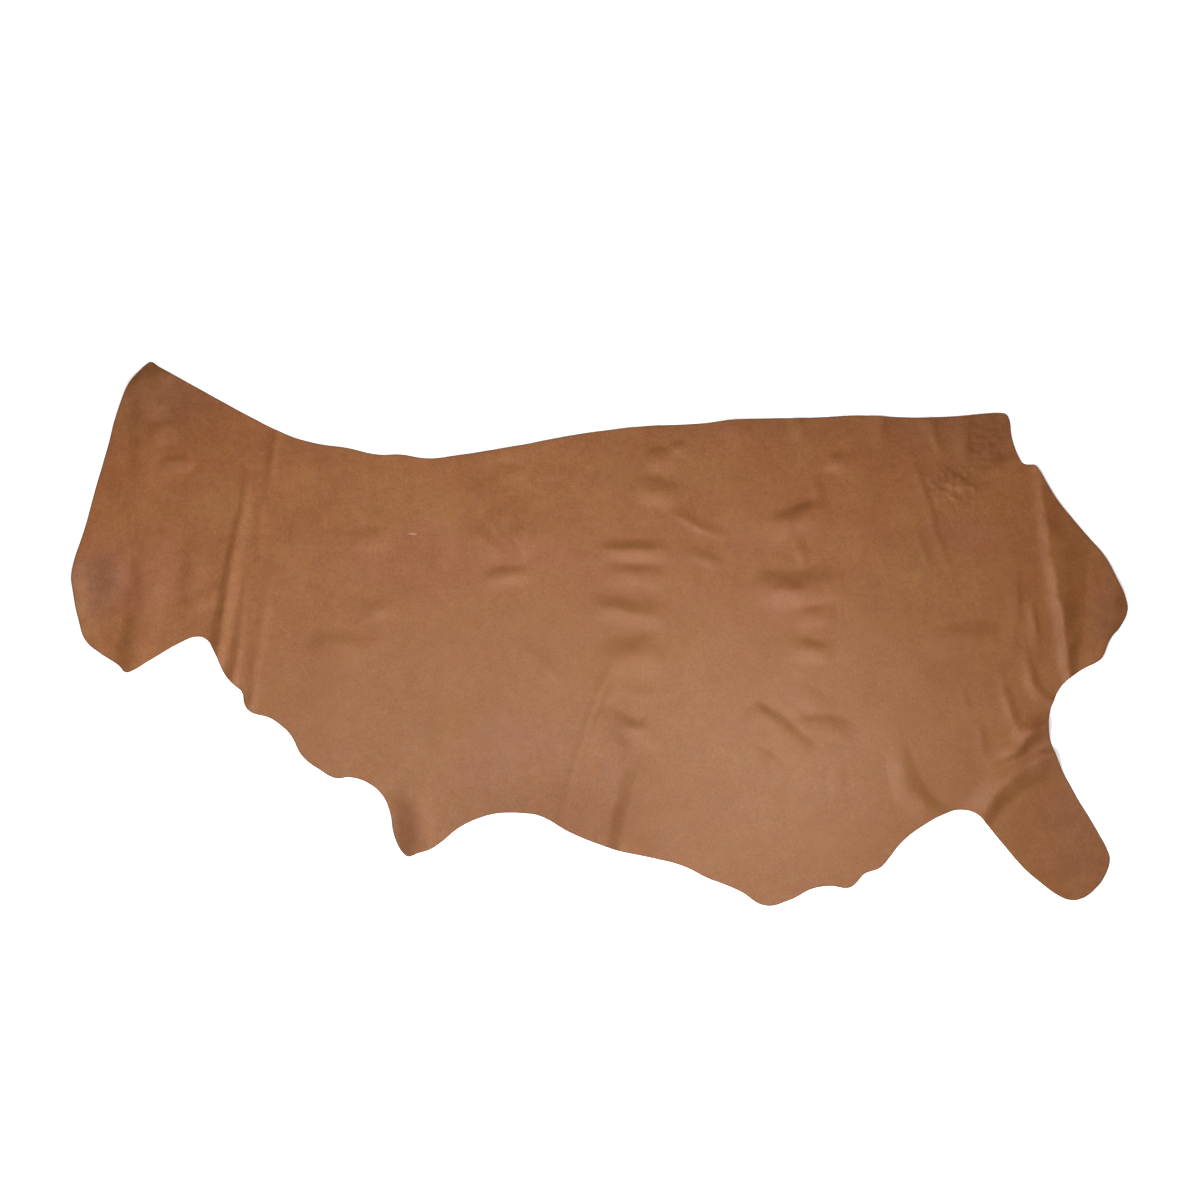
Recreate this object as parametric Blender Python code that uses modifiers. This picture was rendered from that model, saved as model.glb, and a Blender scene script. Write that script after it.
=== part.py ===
"""Lining leather: one whole side of a smooth brown hide, lying grain side up.

The hide is cut along the backbone, so the side has one long, nearly straight edge, at +Y.
Its other edges are the natural ones: the neck at -X, the fore shank, belly and hind shank
along -Y, and the butt at +X. It rests on a level surface at z = 0 and leaves it only in
its creases and ripples. The tables are in millimetres and the scene is in metres.
"""

from collections import namedtuple

import bpy
import numpy as np
from mathutils import Vector
from mathutils.geometry import delaunay_2d_cdt

MM = 0.001
SIDE_LENGTH = 2112 * MM
THICKNESS = 1.2 * MM

# Spacing of the mesh: along the cut edge, along a crease, and in the flat field.
EDGE_STEP = 15 * MM
CREASE_STEP = 20 * MM
FIELD_STEP = 40 * MM
CREASE_GAP = 9 * MM
FLANK_STEP = 16 * MM
CURVE_STEPS = 8
NO_LENGTH = 1e-9

LEATHER_BROWN = (0.33, 0.14, 0.067)
LEATHER_ROUGHNESS = 0.5

# The outline in runs, clockwise from the tip of the neck. Each row is x, y.
BACKBONE = [
    (-896, 543), (-879, 533), (-799, 489), (-719, 445), (-639, 404), (-579, 383),
    (-499, 370), (-443, 358), (-399, 358), (-339, 350), (-295, 355), (-163, 376),
    (-33, 400), (97, 415), (205, 420), (269, 428), (409, 431), (537, 436),
    (613, 432), (715, 435), (803, 441), (813, 438), (818, 430),
]
BUTT = [
    (824, 394), (831, 370), (841, 348), (848, 340), (861, 338), (871, 337),
    (878, 329), (893, 304), (921, 260), (961, 212), (1012, 152), (1035, 110),
    (1053, 65), (1055, 46), (1042, 16), (1021, -10), (1005, -46), (1000, -52),
    (962, -73), (928, -100), (911, -127), (898, -166), (898, -194),
]
HIND_SHANK = [
    (921, -265), (941, -303), (1001, -405), (1015, -432), (1020, -450),
    (1012, -479), (992, -509), (961, -530), (941, -532), (921, -525),
    (881, -497), (841, -461), (801, -414), (774, -381),
]
FLANK = [
    (755, -361), (721, -352), (691, -359), (641, -387), (601, -421),
    (581, -446), (561, -468), (529, -481), (515, -496), (501, -507),
]
BELLY = [
    (461, -504), (421, -511), (381, -532), (331, -543), (281, -514), (221, -490),
    (161, -462), (101, -447), (21, -428), (-59, -397), (-119, -364), (-139, -360),
    (-199, -359), (-239, -368), (-279, -387), (-319, -419), (-339, -431),
]
FORE_SHANK = [
    (-365, -439), (-375, -444), (-383, -445), (-391, -439), (-399, -429), (-411, -400),
    (-419, -356), (-432, -325), (-459, -300), (-499, -287), (-526, -289),
]
BRISKET = [
    (-559, -272), (-592, -246), (-617, -202), (-639, -181), (-659, -168),
    (-699, -155), (-709, -141), (-714, -116), (-729, -103), (-749, -81),
    (-771, -32), (-784, -12), (-800, -6),
]
NECK = [
    (-839, -19), (-899, -54), (-931, -73), (-946, -77), (-959, -64), (-999, -38),
    (-1026, -14), (-1039, 23), (-1053, 94), (-1055, 114), (-1049, 148),
    (-1029, 208), (-1011, 274), (-984, 368), (-959, 456), (-939, 501), (-919, 525),
    (-905, 538),
]
OUTLINE = BACKBONE + BUTT + HIND_SHANK + FLANK + BELLY + FORE_SHANK + BRISKET + NECK

# A crease: how soft its crest is, and the crest itself in rows of x, y, rise, and the reach of
# its flanks to the left and to the right, looking along it.
Crease = namedtuple("Crease", "name softness crest")
SOFT = 2.0
FIRM = 1.5
CRISP = 1.2


def steady(name, left, right, rows, softness=SOFT):
    """A crease whose flanks keep their reach all along."""
    return Crease(name, softness, [(*row, left, right) for row in rows])


# The butt folds up across its whole width, and the hind shank has two folds at its root.
BUTT_CREASES = [
    Crease("butt", CRISP, [
        (941, -100, 9, 30, 18), (935, -52, 12, 36, 26), (925, 8, 14, 40, 44), (915, 68, 15, 42, 60),
        (904, 128, 15, 42, 78), (894, 188, 14, 40, 90), (886, 250, 13, 40, 84), (878, 318, 11, 40, 60),
        (872, 350, 9, 40, 50),
    ]),
    steady("lobe", 26, 50, [(998, 170, 0), (986, 80, 2.5), (974, -17, 3), (968, -76, 2)], FIRM),
    steady("rump_thin", 30, 13, [(829, -20, 0), (835, 68, 3), (831, 160, 0)], FIRM),
    steady("rump_short", 20, 14, [(878, -30, 0), (870, 20, 2.5), (863, 80, 0)], FIRM),
    Crease("butt_root", FIRM, [
        (847, -16, 0, 18, 18), (860, -76, 5, 24, 24), (874, -112, 7, 26, 26), (912, -142, 6, 26, 26),
    ]),
    steady("rump_edge", 24, 20, [(797, -56, 0), (808, -112, 5), (823, -158, 6), (843, -202, 2)], FIRM),
    Crease("shank_root", FIRM, [
        (768, -258, 0, 24, 20), (806, -244, 5, 30, 26), (832, -220, 11, 32, 30), (858, -190, 15, 34, 36),
        (908, -168, 14, 32, 42),
    ]),
    Crease("shank_fold", FIRM, [
        (764, -366, 6, 50, 26), (785, -330, 9, 50, 34), (811, -302, 10, 40, 38), (841, -274, 11, 30, 40),
        (871, -254, 11, 24, 38), (920, -236, 10, 20, 34),
    ]),
    Crease("flank_notch", SOFT, [
        (648, -384, 7, 34, 34), (626, -332, 8, 34, 28), (615, -280, 6, 32, 22), (612, -216, 0, 26, 18),
    ]),
    steady("flank_short", 18, 15, [(772, -250, 0), (764, -214, 3), (758, -180, 0)], FIRM),
    steady("flank_thin", 16, 13, [(740, -176, 0), (731, -136, 2.5), (724, -100, 0)], FIRM),
    steady("hip_row", 24, 40, [(640, -10, 0), (690, -16, 4), (731, -4, 5), (796, 6, 0)]),
    steady("hip_long", 18, 13, [(706, 106, 0), (681, 178, 2.5), (661, 238, 3), (641, 308, 3), (610, 384, 0)], CRISP),
    steady("hip_faint", 15, 13, [(666, 116, 0), (648, 168, 2), (632, 216, 0)], FIRM),
    steady("hip_rough_upper", 14, 14, [(664, 420, 1), (670, 390, 3), (684, 350, 0)], FIRM),
    steady("hip_rough_lower", 16, 20, [(690, 316, 0), (722, 302, 4), (758, 284, 0)], FIRM),
    steady("hip_rough_corner", 28, 16, [(750, 310, 0), (788, 326, 5), (836, 350, 3)], FIRM),
]

# The neck is creased across where it was bent, and its tip and outer edge lift a little.
NECK_CREASES = [
    steady("tip", 34, 60, [(-955, 470, 3), (-930, 494, 8), (-896, 510, 9), (-850, 514, 4)]),
    steady("neck_edge", 36, 40, [(-1058, 170, 0), (-1056, 110, 5), (-1046, 30, 6), (-1016, -30, 3)]),
    steady("panel_upper", 30, 60, [(-910, 280, 0), (-913, 360, 4), (-915, 440, 4), (-905, 480, 0)]),
    steady("panel_blob", 44, 40, [(-968, 60, 0), (-972, 124, 5), (-965, 190, 0)]),
    steady("panel_long", 36, 50, [(-936, -76, 5), (-925, -20, 5), (-908, 84, 4), (-898, 160, 3), (-896, 230, 0)]),
    steady("panel_inner", 26, 34, [(-822, 30, 0), (-814, 118, 4), (-802, 220, 0)]),
    steady("panel_row", 24, 28, [(-830, 66, 0), (-790, 68, 3), (-756, 74, 0)]),
    steady("bump_upper", 24, 34, [(-910, 398, 0), (-878, 404, 5), (-840, 412, 0)]),
    steady("bump_lower", 20, 24, [(-878, 344, 0), (-846, 340, 5), (-812, 346, 0)]),
    Crease("neck_long", FIRM, [
        (-768, -64, 5, 22, 13), (-759, -22, 5, 22, 13), (-745, 68, 5, 22, 14), (-733, 138, 4.5, 20, 14),
        (-723, 198, 4, 18, 14), (-711, 268, 3, 16, 16), (-702, 350, 0, 14, 16),
    ]),
    Crease("neck_second", FIRM, [
        (-735, -104, 7, 28, 14), (-721, -34, 4.5, 18, 12), (-713, 48, 3, 16, 12), (-704, 124, 0, 14, 12),
    ]),
    steady("neck_third", 18, 15, [(-698, -146, 5), (-685, -56, 3), (-668, 50, 2), (-660, 100, 0)], FIRM),
    steady("neck_top", 17, 18, [(-662, 270, 0), (-653, 350, 4), (-640, 420, 3)], FIRM),
    steady("neck_fine", 15, 16, [(-680, 130, 0), (-678, 205, 3), (-672, 290, 0)], FIRM),
]

# Soft ripples, a few of them in columns across the ribs and the loin.
BACK_CREASES = [
    steady("shoulder_upper", 20, 28, [(-510, 184, 0), (-462, 190, 3), (-415, 194, 0)]),
    steady("shoulder_middle", 20, 30, [(-484, 58, 0), (-436, 64, 4), (-388, 64, 0)]),
    steady("shoulder_lower", 24, 40, [(-566, -24, 0), (-514, -34, 3), (-464, -42, 0)]),
    steady("withers_upper", 20, 22, [(-216, 366, 0), (-183, 364, 3), (-150, 360, 0)]),
    steady("withers_under", 20, 24, [(-214, 322, 0), (-178, 318, 3), (-140, 312, 0)]),
    steady("withers_slant", 32, 15, [(-222, 256, 0), (-181, 208, 4), (-144, 146, 0)], FIRM),
    steady("withers_row", 22, 34, [(-252, 112, 0), (-189, 114, 5), (-120, 119, 0)]),
    steady("back_line", 22, 17, [(-176, -8, 0), (-120, -62, 2.5), (-62, -120, 0)]),
    steady("back_bump", 18, 44, [(70, 368, 0), (98, 384, 5), (130, 384, 6), (184, 358, 0)]),
    steady("back_row", 26, 28, [(54, 292, 0), (111, 281, 6), (174, 264, 0)]),
    steady("back_fine", 15, 10, [(124, 248, 0), (171, 228, 3), (201, 210, 3), (258, 190, 0)], FIRM),
    steady("back_faint", 15, 17, [(168, 168, 0), (211, 150, 2), (252, 132, 0)]),
    steady("rib_first", 18, 28, [(-6, 168, 0), (34, 168, 5), (71, 168, 7), (108, 167, 5), (146, 166, 0)], FIRM),
    steady("rib_second", 18, 30, [(4, 126, 0), (81, 118, 5), (146, 106, 0)]),
    steady("rib_third", 26, 30, [(-26, 56, 0), (20, 50, 6), (51, 44, 7), (90, 38, 6), (134, 30, 0)], FIRM),
    steady("rib_fourth", 32, 48, [(-4, -54, 0), (28, -47, 7), (61, -42, 9), (95, -37, 7), (130, -30, 0)]),
    steady("rib_fifth", 18, 28, [(14, -112, 0), (63, -114, 4), (110, -117, 0)]),
    steady("rib_sixth", 24, 16, [(0, -142, 0), (35, -180, 5), (81, -188, 6), (110, -158, 0)]),
    steady("belly_line", 9, 24, [(20, -58, 0), (-23, -176, 3), (-53, -276, 3), (-84, -392, 3)], FIRM),
    steady("belly_short", 26, 11, [(30, -84, 0), (4, -156, 3), (-22, -232, 0)], FIRM),
    steady("belly_wide", 60, 26, [(73, -190, 0), (70, -285, 6), (58, -350, 7), (36, -430, 7)]),
    steady("fore_shank", 40, 26, [(-386, -296, 0), (-380, -370, 5), (-370, -440, 5)]),
    steady("loin_upper", 18, 40, [(326, 208, 0), (370, 224, 5), (420, 243, 6), (476, 240, 0)]),
    steady("loin_short", 13, 12, [(399, 196, 0), (401, 160, 2.5), (404, 126, 0)]),
    steady("loin_main", 28, 38, [(300, 106, 0), (335, 95, 7), (371, 88, 10), (421, 96, 9), (488, 115, 0)], FIRM),
    steady("loin_under", 18, 24, [(382, 33, 0), (428, 36, 3), (474, 41, 0)]),
    steady("loin_faint", 20, 28, [(368, -26, 0), (418, -33, 5), (470, -37, 0)]),
    steady("loin_lower", 20, 28, [(380, -106, 0), (426, -131, 4), (472, -154, 0)]),
    steady("loin_slant", 22, 34, [(296, -142, 0), (337, -164, 7), (365, -184, 7), (400, -228, 0)]),
    steady("loin_low_row", 20, 32, [(388, -178, 0), (431, -168, 6), (490, -178, 0)]),
    steady("loin_last", 15, 22, [(308, -230, 0), (338, -250, 3), (370, -268, 0)]),
    steady("flank_faint", 15, 20, [(476, -236, 0), (478, -292, 2.5), (476, -345, 0)]),
    steady("rump_row", 17, 22, [(440, 340, 0), (476, 343, 3), (512, 342, 0)]),
    steady("rump_upright", 13, 13, [(428, 320, 0), (433, 278, 2.5), (438, 240, 0)]),
    steady("edge_first", 18, 18, [(267, 372, 0), (268, 410, 2.5), (268, 440, 2.5)]),
    steady("edge_second", 18, 18, [(394, 384, 0), (395, 414, 3), (396, 442, 3)]),
    steady("edge_third", 20, 18, [(556, 366, 0), (559, 404, 4), (561, 446, 4)]),
    steady("edge_fourth", 18, 18, [(657, 384, 0), (660, 412, 3), (661, 446, 3)]),
    steady("edge_fifth", 20, 22, [(726, 322, 0), (728, 380, 4), (729, 446, 4)]),
]


def clear_scene():
    for obj in list(bpy.data.objects):
        bpy.data.objects.remove(obj, do_unlink=True)


def add_collection(name):
    collection = bpy.data.collections.new(name)
    bpy.context.scene.collection.children.link(collection)
    return collection


def guide_line(name, rows, closed, collection):
    """A smooth guide curve through rows of millimetres, and the points along it in metres."""
    curve = bpy.data.curves.new(name, "CURVE")
    curve.dimensions = "3D"
    curve.resolution_u = CURVE_STEPS
    spline = curve.splines.new("BEZIER")
    spline.bezier_points.add(len(rows) - 1)
    spline.use_cyclic_u = closed
    for knot, row in zip(spline.bezier_points, rows):
        knot.co = Vector((*row, 0)[:3]) * MM
        knot.handle_left_type = "AUTO"
        knot.handle_right_type = "AUTO"
    guide = bpy.data.objects.new(name, curve)
    guide.hide_render = True
    guide.display_type = "WIRE"
    collection.objects.link(guide)
    bpy.context.view_layer.update()
    line = guide.to_mesh()
    points = np.array([vertex.co for vertex in line.vertices])
    guide.to_mesh_clear()
    return points


def crease_line(crease, collection):
    """The crest as points in metres, with the reach of both its flanks: x, y, rise, left, right."""
    crest = guide_line("guide_" + crease.name, [row[:3] for row in crease.crest], False, collection)
    knots = np.arange(len(crease.crest)) * CURVE_STEPS
    stops = np.arange(len(crest))
    left = np.interp(stops, knots, [row[3] for row in crease.crest]) * MM
    right = np.interp(stops, knots, [row[4] for row in crease.crest]) * MM
    return np.column_stack([crest, left, right])


def evenly_along(line, step, closed):
    """Points at an even spacing of about one step along a line of points, with all its columns."""
    if closed:
        line = np.vstack([line, line[:1]])
    pieces = np.linalg.norm(np.diff(line[:, :2], axis=0), axis=1)
    travelled = np.concatenate([[0], np.cumsum(pieces)])
    count = max(2, round(travelled[-1] / step))
    stops = np.linspace(0, travelled[-1], count + 1)
    if closed:
        stops = stops[:-1]
    return np.column_stack([np.interp(stops, travelled, column) for column in line.T])


def to_the_right(along):
    """The unit vectors that point to the right of each direction."""
    length = np.maximum(np.linalg.norm(along, axis=1), NO_LENGTH)
    return np.column_stack([along[:, 1], -along[:, 0]]) / length[:, None]


def beside_line(points, line):
    """For each point: its offset to the right of the line, and the line's other columns beside it."""
    start = line[:-1]
    run = np.diff(line, axis=0)
    across = points[:, None, :] - start[None, :, :2]
    length_squared = np.maximum((run[:, :2] ** 2).sum(axis=1), NO_LENGTH**2)
    share = np.clip((across * run[None, :, :2]).sum(axis=2) / length_squared, 0, 1)
    gap = across - share[..., None] * run[None, :, :2]
    distance = np.linalg.norm(gap, axis=2)
    nearest = distance.argmin(axis=1)
    each = np.arange(len(points))
    right = to_the_right(run[nearest, :2])
    side = np.where((gap[each, nearest] * right).sum(axis=1) < 0, -1, 1)
    others = start[nearest, 2:] + share[each, nearest, None] * run[nearest, 2:]
    return distance[each, nearest] * side, others


def lifted(points, creases):
    """The points of the flat side with their heights, raised by every crease that they are in."""
    heights = np.zeros(len(points))
    for softness, line in creases:
        widest = line[:, 3:].max()
        low = line[:, :2].min(axis=0) - widest
        high = line[:, :2].max(axis=0) + widest
        near = ((points > low) & (points < high)).all(axis=1)
        if not near.any():
            continue
        offset, others = beside_line(points[near], line)
        rise, left, right = others.T
        share = np.abs(offset) / np.where(offset < 0, left, right)
        heights[near] += np.maximum(rise, 0) * np.maximum(1 - share**softness, 0) ** 2
    return np.column_stack([points, heights])


def inside(points, outline, margin):
    """Which points lie within the outline and at least the margin away from it."""
    start = outline[:, :2]
    end = np.roll(start, -1, axis=0)
    x, y = points[:, 0, None], points[:, 1, None]
    spans = (start[:, 1] > y) != (end[:, 1] > y)
    drop = np.where(start[:, 1] == end[:, 1], 1, end[:, 1] - start[:, 1])
    crossing = start[:, 0] + (y - start[:, 1]) / drop * (end[:, 0] - start[:, 0])
    within = (spans & (x < crossing)).sum(axis=1) % 2 == 1
    offset, _ = beside_line(points, np.vstack([outline, outline[:1]]))
    return within & (np.abs(offset) > margin)


def crease_rows(creases):
    """Points in rows along every crest and its flanks, so that the mesh follows the crease."""
    rows = []
    for _, line in creases:
        crest = evenly_along(line, CREASE_STEP, closed=False)
        right = to_the_right(np.gradient(crest[:, :2], axis=0))
        rows.append(crest[:, :2])
        for side, reach in ((-1, crest[:, 3]), (1, crest[:, 4])):
            count = max(2, round(reach.max() / FLANK_STEP))
            for share in np.arange(1, count + 1) / count:
                rows.append(crest[:, :2] + right * (side * share * reach)[:, None])
    return np.vstack(rows)


def field_stagger(outline):
    """Points in staggered rows over the whole side."""
    low = outline[:, :2].min(axis=0)
    high = outline[:, :2].max(axis=0)
    row_step = FIELD_STEP * np.sqrt(3) / 2
    points = []
    for row, y in enumerate(np.arange(low[1], high[1], row_step)):
        for x in np.arange(low[0] + FIELD_STEP / 2 * (row % 2), high[0], FIELD_STEP):
            points.append((x, y))
    return np.array(points)


def keep_apart(taken, candidates, least):
    """The points taken so far, with each candidate that lies further than the least gap from all of them."""
    kept = list(taken)
    for candidate in candidates:
        if np.linalg.norm(np.array(kept) - candidate, axis=1).min() > least:
            kept.append(candidate)
    return np.array(kept)


def leather_material():
    material = bpy.data.materials.new("leather")
    material.use_nodes = True
    shader = material.node_tree.nodes["Principled BSDF"]
    shader.inputs["Base Color"].default_value = (*LEATHER_BROWN, 1)
    shader.inputs["Roughness"].default_value = LEATHER_ROUGHNESS
    shader.inputs["Metallic"].default_value = 0
    return material


def leather_side(guides, parts):
    """The side itself: a triangulated sheet within its outline, creased, then given its thickness."""
    cut_edge = guide_line("guide_outline", OUTLINE, True, guides)
    creases = []
    for crease in BUTT_CREASES + NECK_CREASES + BACK_CREASES:
        creases.append((crease.softness, crease_line(crease, guides)))

    outline = evenly_along(cut_edge, EDGE_STEP, closed=True)
    rows = crease_rows(creases)
    rows = rows[inside(rows, outline, EDGE_STEP / 2)]
    field = field_stagger(outline)
    field = field[inside(field, outline, FIELD_STEP / 2)]
    points = keep_apart(outline[:, :2], rows, CREASE_GAP)
    points = keep_apart(points, field, FIELD_STEP / 2)

    flat = [Vector(point) for point in points]
    loop = [list(range(len(outline)))]
    flat, _, faces, _, _, _ = delaunay_2d_cdt(flat, [], loop, 1, MM / 100)
    places = lifted(np.array(flat), creases)
    low = places.min(axis=0)
    high = places.max(axis=0)
    middle = np.array([(low[0] + high[0]) / 2, (low[1] + high[1]) / 2, 0])
    places = (places - middle) * SIDE_LENGTH / (high[0] - low[0])

    mesh = bpy.data.meshes.new("leather_side")
    mesh.from_pydata(places.tolist(), [], faces)
    if mesh.polygons[0].normal.z < 0:
        mesh.flip_normals()
    mesh.shade_smooth()
    mesh.materials.append(leather_material())
    side = bpy.data.objects.new("leather_side", mesh)
    parts.objects.link(side)
    skin = side.modifiers.new("thickness", "SOLIDIFY")
    skin.thickness = THICKNESS
    skin.offset = 1
    skin.use_even_offset = True
    return side


clear_scene()
leather_side(add_collection("guides"), add_collection("leather_side"))
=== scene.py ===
from collections import namedtuple

import bpy
import numpy as np
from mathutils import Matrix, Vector, noise
from mathutils.geometry import delaunay_2d_cdt
from mathutils.kdtree import KDTree


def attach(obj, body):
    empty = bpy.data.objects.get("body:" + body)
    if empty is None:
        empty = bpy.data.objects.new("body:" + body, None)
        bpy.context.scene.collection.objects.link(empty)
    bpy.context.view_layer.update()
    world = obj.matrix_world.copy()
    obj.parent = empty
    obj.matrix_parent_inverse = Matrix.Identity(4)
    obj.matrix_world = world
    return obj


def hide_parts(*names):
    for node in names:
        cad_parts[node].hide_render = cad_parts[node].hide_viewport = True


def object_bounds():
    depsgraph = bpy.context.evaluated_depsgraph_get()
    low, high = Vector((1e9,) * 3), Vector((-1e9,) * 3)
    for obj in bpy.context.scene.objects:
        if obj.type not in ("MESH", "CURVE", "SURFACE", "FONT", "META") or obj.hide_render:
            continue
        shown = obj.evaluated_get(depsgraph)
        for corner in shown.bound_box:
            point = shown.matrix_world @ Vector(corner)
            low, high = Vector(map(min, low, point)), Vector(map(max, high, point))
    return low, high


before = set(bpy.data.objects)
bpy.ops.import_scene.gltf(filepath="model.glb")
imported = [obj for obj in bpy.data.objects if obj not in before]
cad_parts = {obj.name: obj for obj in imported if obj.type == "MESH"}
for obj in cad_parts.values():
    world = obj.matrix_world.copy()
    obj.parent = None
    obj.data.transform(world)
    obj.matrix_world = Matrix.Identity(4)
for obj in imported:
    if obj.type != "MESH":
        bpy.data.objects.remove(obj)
cad_low, cad_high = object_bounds()


# The side of leather.
# Half of a tanned cow hide, cut along the backbone and left with its natural edge everywhere else.
# It is one limp piece, 1.2 mm thick, laid on a table with its smooth brown grain up.

MM = 0.001
THICKNESS = 1.2 * MM

# The cut edge in runs, clockwise from the tip of the neck. Each row is x, y in millimetres.
BACKBONE = [
    (-896, 543), (-879, 533), (-799, 489), (-719, 445), (-639, 404), (-579, 383),
    (-499, 370), (-443, 358), (-399, 358), (-339, 350), (-295, 355), (-163, 376),
    (-33, 400), (97, 415), (205, 420), (269, 428), (409, 431), (537, 436),
    (613, 432), (715, 435), (803, 441), (813, 438), (818, 430),
]
BUTT = [
    (824, 394), (831, 370), (841, 348), (848, 340), (861, 338), (871, 337),
    (878, 329), (893, 304), (921, 260), (961, 212), (1012, 152), (1035, 110),
    (1053, 65), (1055, 46), (1042, 16), (1021, -10), (1005, -46), (1000, -52),
    (962, -73), (928, -100), (911, -127), (898, -166), (898, -194),
]
HIND_SHANK = [
    (921, -265), (941, -303), (1001, -405), (1015, -432), (1020, -450),
    (1012, -479), (992, -509), (961, -530), (941, -532), (921, -525),
    (881, -497), (841, -461), (801, -414), (774, -381),
]
FLANK = [
    (755, -361), (721, -352), (691, -359), (641, -387), (601, -421),
    (581, -446), (561, -468), (529, -481), (515, -496), (501, -507),
]
BELLY = [
    (461, -504), (421, -511), (381, -532), (331, -543), (281, -514), (221, -490),
    (161, -462), (101, -447), (21, -428), (-59, -397), (-119, -364), (-139, -360),
    (-199, -359), (-239, -368), (-279, -387), (-319, -419), (-339, -431),
]
FORE_SHANK = [
    (-365, -439), (-375, -444), (-383, -445), (-391, -439), (-399, -429), (-411, -400),
    (-419, -356), (-432, -325), (-459, -300), (-499, -287), (-526, -289),
]
BRISKET = [
    (-559, -272), (-592, -246), (-617, -202), (-639, -181), (-659, -168),
    (-699, -155), (-709, -141), (-714, -116), (-729, -103), (-749, -81),
    (-771, -32), (-784, -12), (-800, -6),
]
NECK = [
    (-839, -19), (-899, -54), (-931, -73), (-946, -77), (-959, -64), (-999, -38),
    (-1026, -14), (-1039, 23), (-1053, 94), (-1055, 114), (-1049, 148),
    (-1029, 208), (-1011, 274), (-984, 368), (-959, 456), (-939, 501), (-919, 525),
    (-905, 538),
]
CUT_EDGE = BACKBONE + BUTT + HIND_SHANK + FLANK + BELLY + FORE_SHANK + BRISKET + NECK

# A crease: the forms of its flanks to the left and to the right, looking along it, and the crest in
# rows of x, y, rise, and the reach of those flanks, all in millimetres. A flank is round at the crown
# and eases out at the foot, more so with higher powers.
Flank = namedtuple("Flank", "crown foot")
Crease = namedtuple("Crease", "left_flank right_flank crest")
SOFT = Flank(2.0, 2.0)
FIRM = Flank(1.5, 2.0)
CRISP = Flank(1.2, 2.0)
PLANE = Flank(1.05, 1.15)


def steady(left, right, rows, flank=SOFT):
    """A crease whose flanks keep their reach all along."""
    return Crease(flank, flank, [(*row, left, right) for row in rows])


# The butt folds up across its whole width, and the hind shank has two folds at its root.
BUTT_CREASES = [
    Crease(CRISP, PLANE, [
        (943, -100, 6, 22, 14), (937, -52, 7, 26, 20), (929, 8, 7.6, 29, 38), (918, 68, 7.6, 29, 54),
        (907, 128, 7.2, 27, 72), (897, 188, 6.6, 25, 84), (888, 250, 5.6, 25, 80), (880, 318, 4.4, 24, 60),
        (873, 350, 4, 24, 50),
    ]),
    Crease(SOFT, PLANE, [
        (1020, 190, 2, 40, 40), (1034, 110, 4, 40, 62), (1030, 46, 5, 40, 64), (1008, -20, 5, 40, 55),
        (992, -60, 4.5, 40, 46),
    ]),
    steady(30, 13, [(829, -20, 0), (835, 68, 2), (831, 160, 0)], FIRM),
    steady(20, 14, [(878, -30, 0), (870, 20, 2.5), (863, 80, 0)], FIRM),
    Crease(FIRM, FIRM, [
        (847, -16, 0, 14, 16), (860, -76, 2.2, 17, 20), (874, -112, 3, 18, 22), (912, -142, 2.8, 18, 22),
    ]),
    steady(17, 15, [(797, -56, 0), (808, -112, 1.7), (823, -158, 2.2), (843, -202, 1)], FIRM),
    Crease(FIRM, FIRM, [
        (768, -258, 0, 24, 20), (806, -246, 5, 30, 26), (834, -227, 10, 32, 28), (861, -197, 14, 34, 32),
        (911, -175, 12.4, 32, 38),
    ]),
    Crease(FIRM, FIRM, [
        (764, -366, 7, 50, 28), (785, -330, 10, 46, 34), (811, -302, 12, 38, 40), (841, -274, 13, 30, 44),
        (871, -254, 13.4, 24, 50), (920, -236, 11.6, 20, 52),
    ]),
    Crease(SOFT, SOFT, [
        (690, -374, 4, 40, 26), (656, -350, 6.5, 42, 30), (626, -318, 7.5, 42, 32), (606, -272, 5, 38, 30),
        (600, -216, 0, 30, 22),
    ]),
    steady(18, 15, [(772, -250, 0), (764, -214, 1.6), (758, -180, 0)], FIRM),
    steady(16, 13, [(740, -176, 0), (731, -136, 1.3), (724, -100, 0)], FIRM),
    steady(32, 44, [(640, -10, 0), (690, -16, 3.6), (731, -4, 4), (796, 6, 0)]),
    steady(18, 13, [(706, 106, 0), (681, 178, 1.2), (661, 238, 1.6), (641, 308, 1.4), (610, 384, 0)], CRISP),
    steady(15, 13, [(666, 116, 0), (648, 168, 1.2), (632, 216, 0)], FIRM),
    steady(14, 14, [(664, 420, 1), (670, 390, 2), (684, 350, 0)], FIRM),
    steady(16, 20, [(690, 316, 0), (722, 302, 2), (758, 284, 0)], FIRM),
    steady(28, 16, [(750, 310, 0), (788, 326, 3), (836, 350, 2)], FIRM),
]

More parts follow.
